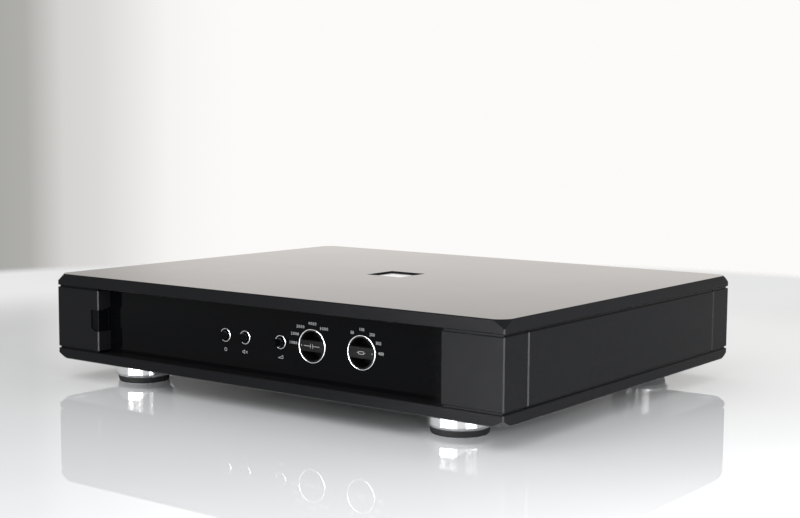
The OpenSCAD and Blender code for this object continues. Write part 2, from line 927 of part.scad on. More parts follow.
module rca_insulators() {
    back = rear_inner - rca_back_len + rca_back_wall;
    front = rear_face + rca_nut_t + rca_barrel_len - rca_insulator_in;
    color(insulator_white) for (x = rca_xs) difference() {
        bar_y(x, control_z, back, front, rca_bore_r - running);
        bar_y(x, control_z, front - rca_hole_deep, front + cut, rca_hole_r);
    }
}

// ---- Ground terminal ----

module ground_post() {
    color(steel) {
        bar_y(ground_x, control_z, rear_inner - ground_tail_len, rear_face, ground_r);
        bar_y(ground_x, control_z, rear_inner - ground_lock_t, rear_inner, ground_lock_r);
        bar_y(ground_x, control_z, rear_face, rear_face + ground_base_t, ground_base_r);
        bar_y(ground_x, control_z, rear_face + ground_base_t, rear_face + ground_stud_len, ground_r);
    }
}

module ground_washer() {
    from = rear_face + ground_base_t + slip;
    color(steel) difference() {
        bar_y(ground_x, control_z, from, from + washer_t, washer_r);
        bar_y(ground_x, control_z, from - cut, from + washer_t + cut, ground_r + running);
    }
}

module ground_nut() {
    from = rear_face + ground_base_t + washer_t + 2 * slip;
    color(gold) difference() {
        bar_y(ground_x, control_z, from, from + nut_t, nut_r);
        bar_y(ground_x, control_z, from - cut, from + nut_t + cut, ground_r + running);
        for (i = [0:nut_flutes - 1])
            translate([ground_x, 0, control_z]) rotate([0, i * 360 / nut_flutes, 0])
                bar_y(nut_r, 0, from + flute_from, from + nut_t + cut, flute_r);
    }
}

// ---- Inside ----

// Ring-cored transformer, wrapped in tape
module transformer() {
    z = bottom_top + trafo_pad_t;
    color(tape_yellow) translate([trafo_at[0], trafo_at[1], z]) rotate_extrude()
        translate([(trafo_r + trafo_hole_r) / 2, trafo_h / 2])
            cut_rect(trafo_r - trafo_hole_r, trafo_h, trafo_round);
}

module transformer_pads() {
    color(rubber_black) for (level = [bottom_top, bottom_top + trafo_pad_t + trafo_h])
        translate([trafo_at[0], trafo_at[1], level]) difference() {
            cylinder(h = trafo_pad_t, r = trafo_r - trafo_round);
            translate([0, 0, -cut]) cylinder(h = trafo_pad_t + 2 * cut, r = trafo_hole_r);
        }
}

module transformer_bolt() {
    dish_z = bottom_top + 2 * trafo_pad_t + trafo_h;
    dish_t = 1.5;
    head_r = 5;
    head_t = 4;
    thread_z = bottom_top - bottom_t / 2 + gap;
    color(steel) translate([trafo_at[0], trafo_at[1], 0]) {
        translate([0, 0, thread_z]) cylinder(h = dish_z + dish_t - thread_z, r = trafo_bolt_r);
        translate([0, 0, dish_z]) cylinder(h = dish_t, r = trafo_dish_r);
        translate([0, 0, dish_z + dish_t]) cylinder(h = head_t, r = head_r, $fn = 6);
    }
}

module board(lo, hi) {
    color(board_green) difference() {
        span([lo[0], lo[1], board_z], [hi[0], hi[1], board_z + board_t]);
        for (p = board_corners(lo, hi)) translate([p[0], p[1], board_z - cut])
            cylinder(h = board_t + 2 * cut, r = board_screw_r + slip);
    }
}

function board_corners(lo, hi) = [
    for (x = [lo[0] + board_in, hi[0] - board_in], y = [lo[1] + board_in, hi[1] - board_in]) [x, y]
];

module power_board() {
    board(power_board_lo, power_board_hi);
}

module audio_board() {
    board(audio_board_lo, audio_board_hi);
}

module board_standoffs() {
    points = concat(
        board_corners(power_board_lo, power_board_hi), board_corners(audio_board_lo, audio_board_hi)
    );
    color(steel) {
        for (p = points) translate([p[0], p[1], bottom_top]) {
            cylinder(h = standoff_h, r = standoff_r);
            cylinder(h = standoff_h + board_t + board_screw_head_t, r = board_screw_r);
            translate([0, 0, standoff_h + board_t])
                cylinder(h = board_screw_head_t, r = board_screw_head_r);
        }
        for (x = control_post_xs, z = control_post_zs)
            bar_y(x, z, subpanel_back, control_board_y, standoff_r);
    }
}

// Upright capacitors on the power board
module reservoir_capacitors() {
    can_h = 30;
    can_r = 11;
    disc_t = 0.6;
    disc_r = 9.6;
    color(sleeve_blue) for (x = [-135, -108, -81, -54], y = [38, 68])
        translate([x, y, board_z + board_t]) {
            cylinder(h = can_h, r = can_r);
            translate([0, 0, can_h]) cylinder(h = disc_t, r = disc_r);
        }
}

// Sealed relays that switch the inputs, in two rows on the audio board
module relays() {
    size = [20, 10, 10];
    color(relay_grey) for (x = [20, 60, 100], y = [20, 60, 100])
        translate([x, y, board_z + board_t])
            bevelled_block(size[0], size[1], size[2], body_cut, body_cut);
}

// Folded steel wall between the mains side and the audio side
module shield_wall() {
    t = 1.5;
    color(steel) {
        span([shield_x, shield_from, bottom_top], [shield_x + t, shield_to, top_lo - shield_short]);
        span([shield_x - shield_foot_w, shield_from, bottom_top], [shield_x, shield_to, bottom_top + t]);
    }
}

top_plate();
bottom_plate();
top_inlay();
front_left_post();
front_right_post();
rear_left_post();
rear_right_post();
left_side_panel();
right_side_panel();
front_panel();
front_subpanel();
rear_panel();
front_left_foot();
front_right_foot();
rear_left_foot();
rear_right_foot();
front_left_pad();
front_right_pad();
rear_left_pad();
rear_right_pad();
base_screws();
rear_screws();
capacitance_knob();
load_knob();
dial_rings();
button_rings();
mono_button();
mute_button();
gain_button();
power_button();
capacitance_shaft();
load_shaft();
rotary_switches();
button_switches();
control_board();
power_switch();
mains_inlet();
mains_blades();
fuse_drawer();
fuse();
input_xlr_sockets();
input_xlr_inserts();
left_latch();
right_latch();
output_xlr_sockets();
output_xlr_pins();
rca_sockets();
rca_insulators();
ground_post();
ground_washer();
ground_nut();
transformer();
transformer_pads();
transformer_bolt();
power_board();
audio_board();
reservoir_capacitors();
relays();
shield_wall();
board_standoffs();
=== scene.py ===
"""Full-width phono preamp on a glossy pale floor. Metres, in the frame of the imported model."""
import json
import math

import bmesh
import bpy
from mathutils import Matrix, Vector


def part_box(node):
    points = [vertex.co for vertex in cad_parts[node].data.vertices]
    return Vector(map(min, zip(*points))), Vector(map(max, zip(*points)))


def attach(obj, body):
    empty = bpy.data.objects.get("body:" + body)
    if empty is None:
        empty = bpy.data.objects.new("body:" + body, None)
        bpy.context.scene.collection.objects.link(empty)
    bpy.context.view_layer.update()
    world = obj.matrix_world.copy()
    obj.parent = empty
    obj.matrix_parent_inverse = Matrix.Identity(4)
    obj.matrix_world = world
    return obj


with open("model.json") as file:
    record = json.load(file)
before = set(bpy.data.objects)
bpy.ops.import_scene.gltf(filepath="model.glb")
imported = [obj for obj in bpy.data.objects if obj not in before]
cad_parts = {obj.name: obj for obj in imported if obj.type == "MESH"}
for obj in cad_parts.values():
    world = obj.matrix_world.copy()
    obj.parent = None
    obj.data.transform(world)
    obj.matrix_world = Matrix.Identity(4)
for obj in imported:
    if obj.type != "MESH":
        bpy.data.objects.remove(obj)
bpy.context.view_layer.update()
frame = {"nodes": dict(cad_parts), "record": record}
scene = bpy.context.scene
MM = 0.001

# ---- Camera ----

CAMERA_PLACE = Vector((0.669645, -0.891861, 0.20655))
CAMERA_AZIMUTH = math.radians(36.7356)
CAMERA_DOWN = math.radians(5.5226)
CAMERA_ROLL = math.radians(0.3687)
SENSOR_W = 36.0
IMAGE_W_PX = 800
FOCAL_PX = 1359.5


def add_camera():
    """Camera where the photograph was taken from, looking a little down and with a small roll."""
    ahead = Vector((
        -math.sin(CAMERA_AZIMUTH) * math.cos(CAMERA_DOWN),
        math.cos(CAMERA_AZIMUTH) * math.cos(CAMERA_DOWN),
        -math.sin(CAMERA_DOWN),
    ))
    right = ahead.cross(Vector((0, 0, 1))).normalized()
    up = right.cross(ahead)
    camera = bpy.data.objects.new("camera", bpy.data.cameras.new("camera"))
    camera.data.sensor_width = SENSOR_W
    camera.data.lens = FOCAL_PX / IMAGE_W_PX * SENSOR_W
    turn = Matrix((right, up, -ahead)).transposed().to_4x4() @ Matrix.Rotation(CAMERA_ROLL, 4, "Z")
    camera.matrix_world = Matrix.Translation(CAMERA_PLACE) @ turn
    scene.collection.objects.link(camera)
    scene.camera = camera


add_camera()

# ---- Places taken from the model ----

PANEL_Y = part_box("front_panel")[0].y
CONTROL_Z = (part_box("dial_rings")[0].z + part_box("dial_rings")[1].z) / 2
CASE_LOW, CASE_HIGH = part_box("bottom_plate")[1].z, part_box("top_plate")[0].z
# Height of the grooves next to the plates, and the gap that keeps their mask off the plates
GROOVE_H = 1.3 * MM
GROOVE_GAP = 0.02 * MM


def middle(node):
    lo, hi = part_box(node)
    return (lo + hi) / 2


# ---- Nodes ----


class Nodes:
    """Short ways to add nodes to a tree and to join them."""

    def __init__(self, tree):
        self.tree = tree

    def node(self, kind, **settings):
        made = self.tree.nodes.new("ShaderNode" + kind)
        for name, value in settings.items():
            setattr(made, name, value)
        return made

    def join(self, value, socket):
        """Links an output to a socket, or sets a plain value on it."""
        if isinstance(value, bpy.types.NodeSocket):
            self.tree.links.new(value, socket)
        else:
            socket.default_value = value

    def math(self, operation, first, second=0.0, third=0.0):
        made = self.node("Math", operation=operation)
        for value, socket in zip((first, second, third), made.inputs):
            self.join(value, socket)
        return made.outputs[0]

    def axes(self, vector):
        made = self.node("SeparateXYZ")
        self.join(vector, made.inputs[0])
        return made.outputs

    def spread(self, value, low, high, from_low=0.3, from_high=0.7, smooth=False):
        """Carries a value from its own range, for a noise about 0.3 to 0.7, over to low and high."""
        made = self.node("MapRange", interpolation_type="SMOOTHSTEP" if smooth else "LINEAR")
        ends = {"From Min": from_low, "From Max": from_high, "To Min": low, "To Max": high}
        for name, number in ends.items():
            made.inputs[name].default_value = number
        self.join(value, made.inputs["Value"])
        return made.outputs["Result"]

    def mix(self, share, first, second):
        made = self.node("Mix", data_type="RGBA")
        self.join(share, made.inputs[0])
        for value, socket in ((first, made.inputs[6]), (second, made.inputs[7])):
            self.join(value if isinstance(value, bpy.types.NodeSocket) else (*value, 1.0), socket)
        return made.outputs[2]

    def blend(self, share, first, second):
        """Shader that goes from the first to the second with its share."""
        made = self.node("MixShader")
        for value, socket in zip((share, first, second), made.inputs):
            self.join(value, socket)
        return made.outputs[0]


# ---- Materials ----


class Finish(Nodes):
    """A material built from nodes around one principled shader."""

    def __init__(self, name, **constants):
        self.material = bpy.data.materials.new(name)
        self.material.use_nodes = True
        super().__init__(self.material.node_tree)
        self.shader = self.tree.nodes["Principled BSDF"]
        self.place = self.node("TexCoord").outputs["Object"]
        for socket, value in constants.items():
            self.shader.inputs[socket.replace("_", " ")].default_value = value

    def set(self, socket, value):
        self.join(value, self.shader.inputs[socket])

    def stretched(self, scale, centre=(0, 0, 0)):
        """Place on the object, measured from centre and scaled along each axis."""
        mapping = self.node("Mapping", vector_type="POINT")
        mapping.inputs["Location"].default_value = [-c * s for c, s in zip(centre, scale)]
        mapping.inputs["Scale"].default_value = scale
        self.join(self.place, mapping.inputs["Vector"])
        return mapping.outputs["Vector"]

    def noise(self, per_metre, detail=2.0, rough=0.5, scale=(1, 1, 1)):
        made = self.node("TexNoise")
        made.inputs["Scale"].default_value = per_metre
        made.inputs["Detail"].default_value = detail
        made.inputs["Roughness"].default_value = rough
        self.join(self.stretched(scale), made.inputs["Vector"])
        return made.outputs["Fac"]

    def cells(self, per_metre, **settings):
        made = self.node("TexVoronoi", **settings)
        made.inputs["Scale"].default_value = per_metre
        self.join(self.place, made.inputs["Vector"])
        return made.outputs["Distance"]

    def facing_masks(self):
        """Masks from the way a face looks: level, on a bevel that doesn't look up, and looking down."""
        facing = self.axes(self.node("NewGeometry").outputs["True Normal"])
        sizes = [self.math("ABSOLUTE", axis) for axis in facing]
        largest = self.math("MAXIMUM", self.math("MAXIMUM", sizes[0], sizes[1]), sizes[2])
        level = self.spread(sizes[2], 0.0, 1.0, 0.8, 0.95)
        bevel = self.spread(largest, 1.0, 0.0, 0.85, 0.95)
        not_up = self.spread(facing[2], 1.0, 0.0, 0.1, 0.3)
        down = self.spread(facing[2], 1.0, 0.0, -0.4, -0.1)
        return level, self.math("MULTIPLY", bevel, not_up), down

    def groove_mask(self):
        """Mask of the bands next to the plates, which hold the grooves round the case and carry their
        painted shade.
        """
        height = self.axes(self.place)[2]
        half = (CASE_HIGH - CASE_LOW) / 2
        above_middle = self.math("SUBTRACT", height, (CASE_LOW + CASE_HIGH) / 2)
        from_middle = self.math("ABSOLUTE", above_middle)
        past_block = self.math("GREATER_THAN", from_middle, half - GROOVE_H)
        before_plate = self.math("LESS_THAN", from_middle, half - GROOVE_GAP)
        return self.math("MULTIPLY", past_block, before_plate)

    def grazing_coat(self, weight, power):
        """Clear coat that shows only at grazing angles, over the level that the shader has face on."""
        facing = self.node("LayerWeight").outputs["Facing"]
        self.set("Coat Weight", self.math("MULTIPLY", self.math("POWER", facing, power), weight))

    def bump(self, height, depth, strength):
        made = self.node("Bump")
        made.inputs["Strength"].default_value = strength
        made.inputs["Distance"].default_value = depth
        self.join(height, made.inputs["Height"])
        self.set("Normal", made.outputs["Normal"])


def satin_black_metal():
    """Bead-blasted and black anodised aluminium under a satin coat, with painted shade in its grooves and
    painted highlights on its bevels.
    """
    finish = Finish(
        "satin_black_metal",
        Specular_IOR_Level=0.055,
        Coat_IOR=1.5,
        Coat_Roughness=0.1,
        Coat_Tint=(1.0, 0.93, 0.87, 1.0),
    )
    clouds = finish.noise(11, 3)
    grain = finish.noise(2600, 2, 0.6)
    level, bevel, under = finish.facing_masks()
    groove = finish.groove_mask()
    face = finish.mix(clouds, (0.0086, 0.0088, 0.0100), (0.0106, 0.0108, 0.0122))
    # Painted highlights: bevels that don't look up become a dim mirror, brighter on those that look down.
    bevel_highlight = finish.mix(under, (0.050, 0.050, 0.052), (0.11, 0.11, 0.112))
    # Painted shade: the bands that hold the grooves become a near-black mirror.
    finish.set("Base Color", finish.mix(groove, finish.mix(bevel, face, bevel_highlight), (0.008, 0.008, 0.009)))
    finish.set("Metallic", finish.math("MAXIMUM", bevel, groove))
    worn = finish.spread(finish.math("MULTIPLY_ADD", grain, 0.5, clouds), -0.015, 0.015, 0.5, 1.0)
    finish.set("Roughness", finish.math("ADD", worn, finish.spread(level, 0.27, 0.16, 0.0, 1.0)))
    finish.grazing_coat(weight=1.37, power=8)
    finish.bump(grain, depth=0.006 * MM, strength=0.3)
    return finish.material


def satin_black_knob():
    """Turned knobs, black anodised to a soft satin, with the fine marks of the tool across the grip."""
    finish = Finish("satin_black_knob", Specular_IOR_Level=0.1)
    marks = finish.noise(1, 2, 0.6, scale=(90, 2400, 2400))
    clouds = finish.noise(140, 2)
    finish.set("Base Color", finish.mix(clouds, (0.005, 0.005, 0.0055), (0.007, 0.007, 0.0075)))
    finish.set("Roughness", finish.spread(marks, 0.26, 0.36))
    finish.bump(marks, depth=0.006 * MM, strength=0.4)
    return finish.material


def gloss_black_panel():
    """Deep gloss black plate and buttons, with the faint waviness of a lacquered sheet."""
    finish = Finish("gloss_black_panel", Specular_IOR_Level=0.05)
    wave = finish.noise(38, 1)
    haze = finish.noise(420, 3)
    finish.set("Base Color", finish.mix(haze, (0.0022, 0.0023, 0.0028), (0.0032, 0.0034, 0.0040)))
    finish.set("Roughness", finish.spread(haze, 0.035, 0.075))
    finish.bump(wave, depth=0.02 * MM, strength=0.35)
    return finish.material


def polished_aluminium():
    """Turned and polished aluminium, with fine rings left by the tool."""
    finish = Finish("polished_aluminium", Metallic=1.0)
    rings = finish.noise(1, 2, 0.6, scale=(60, 60, 7000))
    clouds = finish.noise(60, 2)
    finish.set("Base Color", finish.mix(clouds, (0.86, 0.865, 0.875), (0.92, 0.925, 0.93)))
    finish.set("Roughness", finish.spread(rings, 0.05, 0.10))
    finish.bump(rings, depth=0.003 * MM, strength=0.3)
    return finish.material


def bright_trim():
    """Bright aluminium trim, finely brushed from left to right."""
    finish = Finish("bright_trim", Metallic=1.0)
    brushed = finish.noise(1, 2, 0.6, scale=(120, 5200, 5200))
    clouds = finish.noise(45, 2)
    finish.set("Base Color", finish.mix(clouds, (0.90, 0.905, 0.91), (0.95, 0.955, 0.96)))
    finish.set("Roughness", finish.spread(brushed, 0.09, 0.19))
    finish.bump(brushed, depth=0.004 * MM, strength=0.35)
    return finish.material


def black_rubber():
    """Moulded rubber, matt and slightly dusty."""
    finish = Finish("black_rubber", Specular_IOR_Level=0.3)
    dust = finish.noise(90, 4, 0.7)
    grain = finish.noise(2200, 3, 0.6)
    finish.set("Base Color", finish.mix(dust, (0.010, 0.010, 0.011), (0.026, 0.026, 0.027)))
    finish.set("Roughness", finish.spread(dust, 0.62, 0.82))
    finish.bump(grain, depth=0.03 * MM, strength=0.5)
    return finish.material


def plated_steel():
    """Zinc-plated steel, a little blotchy."""
    finish = Finish("plated_steel", Metallic=1.0)
    blotches = finish.noise(140, 4, 0.6)
    scratches = finish.noise(1, 2, 0.6, scale=(350, 4200, 350))
    finish.set("Base Color", finish.mix(blotches, (0.50, 0.51, 0.53), (0.66, 0.665, 0.67)))
    finish.set("Roughness", finish.spread(blotches, 0.22, 0.40))
    finish.bump(scratches, depth=0.008 * MM, strength=0.4)
    return finish.material


def black_plastic():
    """Moulded plastic with a fine spark-eroded texture."""
    finish = Finish("black_plastic", Specular_IOR_Level=0.45)
    flow = finish.noise(70, 3)
    texture = finish.noise(3000, 3, 0.6)
    finish.set("Base Color", finish.mix(flow, (0.012, 0.012, 0.013), (0.020, 0.020, 0.021)))
    finish.set("Roughness", finish.spread(texture, 0.36, 0.52))
    finish.bump(texture, depth=0.02 * MM, strength=0.5)
    return finish.material


def gold_plate():
    """Gold plating on turned brass."""
    finish = Finish("gold_plate", Metallic=1.0)
    turning = finish.noise(1, 2, 0.6, scale=(200, 6500, 200))
    clouds = finish.noise(170, 3)
    finish.set("Base Color", finish.mix(clouds, (0.86, 0.58, 0.24), (0.95, 0.69, 0.33)))
    finish.set("Roughness", finish.spread(turning, 0.12, 0.24))
    finish.bump(turning, depth=0.006 * MM, strength=0.4)
    return finish.material


def white_insulator():
    """Waxy white insulator."""
    finish = Finish("white_insulator", Specular_IOR_Level=0.4)
    flow = finish.noise(260, 3)
    finish.set("Base Color", finish.mix(flow, (0.76, 0.76, 0.73), (0.85, 0.85, 0.83)))
    finish.set("Roughness", finish.spread(flow, 0.32, 0.46))
    finish.bump(flow, depth=0.02 * MM, strength=0.4)
    return finish.material


def pale_relay_case():
    """Pale moulded relay cases."""
    finish = Finish("pale_relay_case", Specular_IOR_Level=0.45)
    flow = finish.noise(120, 3)
    texture = finish.noise(2400, 2)
    finish.set("Base Color", finish.mix(flow, (0.66, 0.66, 0.61), (0.76, 0.76, 0.72)))
    finish.set("Roughness", finish.spread(texture, 0.38, 0.52))
    finish.bump(texture, depth=0.02 * MM, strength=0.5)
    return finish.material


def fuse_glass():
    """Glass tube between two metal caps, told apart by their place along the fuse."""
    cap_w = 5 * MM
    low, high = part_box("fuse")
    finish = Finish("fuse_glass")
    along = finish.axes(finish.place)[0]
    from_low = finish.math("SUBTRACT", along, low.x)
    from_high = finish.math("SUBTRACT", high.x, along)
    glass = finish.math("GREATER_THAN", finish.math("MINIMUM", from_low, from_high), cap_w)
    marks = finish.noise(900, 3)
    finish.set("Base Color", finish.mix(glass, (0.74, 0.74, 0.72), (0.88, 0.92, 0.91)))
    finish.set("Metallic", finish.math("SUBTRACT", 1.0, glass))
    finish.set("Transmission Weight", finish.math("MULTIPLY", glass, 0.85))
    finish.set("Roughness", finish.math("MULTIPLY_ADD", glass, -0.12, finish.spread(marks, 0.16, 0.28)))
    return finish.material


def circuit_board():
    """Green solder mask over copper tracks, with tinned pads."""
    finish = Finish("circuit_board", Specular_IOR_Level=0.5)
    tracks = finish.cells(210, feature="DISTANCE_TO_EDGE", distance="CHEBYCHEV")
    track = finish.spread(tracks, 1.0, 0.0, 0.10, 0.13)
    pad = finish.spread(finish.cells(190), 1.0, 0.0, 0.12, 0.15)
    mask = finish.mix(track, (0.012, 0.105, 0.050), (0.020, 0.165, 0.075))
    finish.set("Base Color", finish.mix(pad, mask, (0.62, 0.60, 0.54)))
    finish.set("Metallic", finish.math("MULTIPLY", pad, 0.9))
    finish.set("Roughness", finish.spread(finish.noise(600, 2), 0.26, 0.38))
    finish.bump(track, depth=0.03 * MM, strength=0.6)
    return finish.material


def wound_core():
    """Ring core under yellow tape, whose turns cross the ring."""
    tape_turns = 64
    finish = Finish("wound_core", Specular_IOR_Level=0.5)
    x, y, _ = finish.axes(finish.stretched((1, 1, 1), middle("transformer")))
    angle = finish.math("ARCTAN2", y, x)
    turns = finish.math("FRACT", finish.math("MULTIPLY", angle, tape_turns / math.tau))
    lap = finish.spread(turns, 0.0, 1.0, 0.0, 1.0)
    tape = finish.noise(80, 3)
    paler = finish.math("MULTIPLY", lap, tape)
    finish.set("Base Color", finish.mix(paler, (0.64, 0.44, 0.07), (0.80, 0.62, 0.16)))
    finish.set("Roughness", finish.spread(tape, 0.30, 0.44))
    finish.bump(lap, depth=0.12 * MM, strength=0.8)
    return finish.material


def capacitor_sleeve():
    """Shrunk blue sleeves with bare aluminium tops."""
    bare_h = 0.9 * MM
    finish = Finish("capacitor_sleeve", Specular_IOR_Level=0.5)
    sleeve_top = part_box("reservoir_capacitors")[1].z - bare_h
    bare = finish.math("GREATER_THAN", finish.axes(finish.place)[2], sleeve_top)
    flow = finish.noise(130, 3)
    sleeve = finish.mix(flow, (0.020, 0.032, 0.115), (0.032, 0.048, 0.155))
    finish.set("Base Color", finish.mix(bare, sleeve, (0.80, 0.80, 0.81)))
    finish.set("Metallic", bare)
    finish.set("Roughness", finish.spread(flow, 0.26, 0.38))
    finish.bump(flow, depth=0.04 * MM, strength=0.5)
    return finish.material


def white_print():
    """Screen-printed white ink, a little uneven."""
    finish = Finish("white_print", Specular_IOR_Level=0.3)
    cover = finish.noise(5000, 2)
    finish.set("Base Color", finish.mix(cover, (0.40, 0.41, 0.42), (0.54, 0.55, 0.56)))
    finish.set("Roughness", finish.spread(cover, 0.45, 0.6))
    return finish.material


FINISHES = {
    make.__name__: make()
    for make in (
        satin_black_metal, satin_black_knob, gloss_black_panel, polished_aluminium,
        bright_trim, black_rubber, plated_steel, black_plastic, gold_plate, white_insulator,
        pale_relay_case, fuse_glass, circuit_board, wound_core, capacitor_sleeve, white_print,
    )
}

for subpart in frame["record"]["subparts"]:
    materials = frame["nodes"][subpart["node"]].data.materials
    materials.clear()
    materials.append(FINISHES[subpart["material_slot"]])

# ---- Printed numbers and symbols ----

PRINT_T = 0.02 * MM
# Curve steps in a letter's round strokes
LETTER_STEPS = 3
# Limit that keeps the mitres of sharp corners short
SHARPEST_MITRE = 0.3
# Width of a symbol's lines, in millimetres
SYMBOL_LINE = 0.3


def add_piece(name, mesh, finish, body):
    piece = bpy.data.objects.new(name, mesh)
    mesh.materials.append(FINISHES[finish])
    scene.collection.objects.link(piece)
    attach(piece, body)


def lettered(text, height, spacing):
    """Flat solid mesh of a text in the XZ plane, centred on the origin and as high as height."""
    curve = bpy.data.curves.new(text, "FONT")
    curve.body = text
    curve.space_character = spacing
    curve.align_x = "CENTER"
    curve.extrude = PRINT_T / 2
    curve.resolution_u = LETTER_STEPS
    letters = bpy.data.objects.new(text, curve)
    scene.collection.objects.link(letters)
    mesh = bpy.data.meshes.new_from_object(letters.evaluated_get(bpy.context.evaluated_depsgraph_get()))
    bpy.data.objects.remove(letters)
    lows = [min(v.co[i] for v in mesh.vertices) for i in (0, 1)]
    highs = [max(v.co[i] for v in mesh.vertices) for i in (0, 1)]
    scale = height / (highs[1] - lows[1])
    centre = Matrix.Translation((-(lows[0] + highs[0]) / 2, -(lows[1] + highs[1]) / 2, 0))
    flat = Matrix.Diagonal((scale, scale, 1, 1))
    mesh.transform(Matrix.Rotation(math.radians(90), 4, "X") @ flat @ centre)
    return mesh


def line(bm, points, width, closed=False):
    """Adds a flat solid line through points of the XZ plane, with mitred corners."""
    count = len(points)
    sides = []
    for i, point in enumerate(points):
        before = points[i - 1] if i or closed else None
        after = points[(i + 1) % count] if i < count - 1 or closed else None
        steps = [Vector(b) - Vector(a) for a, b in ((before, point), (point, after)) if a and b]
        normals = [Vector((-s.y, s.x)).normalized() for s in steps]
        mitre = sum(normals, Vector((0, 0))).normalized()
        mitre *= width / 2 / max(mitre.dot(normals[0]), SHARPEST_MITRE)
        sides.append((Vector(point) + mitre, Vector(point) - mitre))
    layers = [
        [[bm.verts.new((p.x, y, p.y)) for p in pair] for pair in sides]
        for y in (-PRINT_T / 2, PRINT_T / 2)
    ]
    last = count if closed else count - 1
    for i in range(last):
        j = (i + 1) % count
        (a, b), (c, d) = layers[0][i], layers[0][j]
        (e, f), (g, h) = layers[1][i], layers[1][j]
        for face in ((a, b, d, c), (e, g, h, f), (a, c, g, e), (b, f, h, d)):
            bm.faces.new(face)
    if not closed:
        for i in (0, count - 1):
            (a, b), (e, f) = layers[0][i], layers[1][i]
            bm.faces.new((a, e, f, b))
    bmesh.ops.recalc_face_normals(bm, faces=bm.faces)


def circle(centre, radius, count=32):
    turns = [math.tau * i / count for i in range(count)]
    return [(centre[0] + radius * math.cos(t), centre[1] + radius * math.sin(t)) for t in turns]


def printed(name, x, y, z, body, lines):
    """Prints a symbol on a face that looks forwards. Its lines are (points, closed), in millimetres."""
    bm = bmesh.new()
    for points, closed in lines:
        line(bm, [(px * MM, pz * MM) for px, pz in points], SYMBOL_LINE * MM, closed)
    mesh = bpy.data.meshes.new(name)
    bm.to_mesh(mesh)
    bm.free()
    mesh.transform(Matrix.Translation((x, y - PRINT_T / 2, z)))
    add_piece(name, mesh, "white_print", body)


def join_meshes(name, meshes):
    bm = bmesh.new()
    for mesh in meshes:
        bm.from_mesh(mesh)
        bpy.data.meshes.remove(mesh)
    joined = bpy.data.meshes.new(name)
    bm.to_mesh(joined)
    bm.free()
    return joined


NUMBER_H = 2.1 * MM

# Numbers of each dial and their places from its centre, in millimetres across and up
DIAL_NUMBERS = {
    "capacitance": (
        ("1000", -17.5, 1.0),
        ("2000", -16.2, 7.6),
        ("3000", -10.9, 13.2),
        ("4000", 0.2, 16.3),
        ("5000", 11.0, 13.5),
    ),
    "load": (
        ("50", -8.3, 13.5),
        ("100", 0.3, 16.3),
        ("200", 9.2, 13.5),
        ("300", 14.8, 8.0),
        ("400", 17.0, 1.0),
    ),
}


def dial_numbers(dial, spacing):
    """Prints the numbers round a dial on the panel."""
    centre_x = middle(dial + "_knob").x
    meshes = []
    for number, across, up in DIAL_NUMBERS[dial]:
        mesh = lettered(number, NUMBER_H, spacing)
        place = (centre_x + across * MM, PANEL_Y - PRINT_T / 2, CONTROL_Z + up * MM)
        mesh.transform(Matrix.Translation(place))
        meshes.append(mesh)
    add_piece(dial + "_numbers", join_meshes(dial + "_numbers", meshes), "white_print", "case")


dial_numbers("capacitance", spacing=1.35)
dial_numbers("load", spacing=1.1)

DIAL_FACE_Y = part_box("capacitance_knob")[0].y
# How far a symbol is below its button
SYMBOL_DROP = 10.9 * MM


def capacitor_symbol():
    """Two plates between their leads."""
    return [
        ([(-7.2, 0), (-1.0, 0)], False),
        ([(-1.0, -1.7), (-1.0, 1.7)], False),
        ([(1.0, -1.7), (1.0, 1.7)], False),
        ([(1.0, 0), (7.2, 0)], False),
    ]


def resistor_symbol():
    """A box between its leads."""
    return [
        ([(-3.8, 0), (-2.2, 0)], False),
        ([(-2.2, -0.9), (2.2, -0.9), (2.2, 0.9), (-2.2, 0.9)], True),
        ([(2.2, 0), (3.8, 0)], False),
    ]


def one_channel_symbol():
    """A single ring."""
    return [(circle((0, 0), 1.15), True)]


def mute_symbol():
    """Loudspeaker beside a cross."""
    return [
        ([(-2.6, -0.5), (-1.7, -0.5), (-0.6, -1.3), (-0.6, 1.3), (-1.7, 0.5), (-2.6, 0.5)], True),
        ([(0.6, -0.8), (2.2, 0.8)], False),
        ([(0.6, 0.8), (2.2, -0.8)], False),
    ]


def gain_symbol():
    """Rising wedge."""
    return [([(-2.4, -0.9), (2.4, -0.9), (2.4, 1.2)], True)]


for name, knob, body, symbol in (
    ("capacitor_symbol", "capacitance_knob", "capacitance_dial", capacitor_symbol()),
    ("resistor_symbol", "load_knob", "load_dial", resistor_symbol()),
):
    printed(name, middle(knob).x, DIAL_FACE_Y, CONTROL_Z, body, symbol)

for name, button, symbol in (
    ("one_channel_symbol", "mono_button", one_channel_symbol()),
    ("mute_symbol", "mute_button", mute_symbol()),
    ("gain_symbol", "gain_button", gain_symbol()),
):
    printed(name, middle(button).x, PANEL_Y, CONTROL_Z - SYMBOL_DROP, "case", symbol)

# ---- Marks on the dials ----

# Radius and depth of the recess, its distance from the dial's centre, and the share that paint fills
MARK_R = 0.5 * MM
MARK_DEEP = 0.25 * MM
MARK_AT = 9.6 * MM
MARK_FILL = 0.7
MARK_RINGS = 4
MARK_SIDES = 24


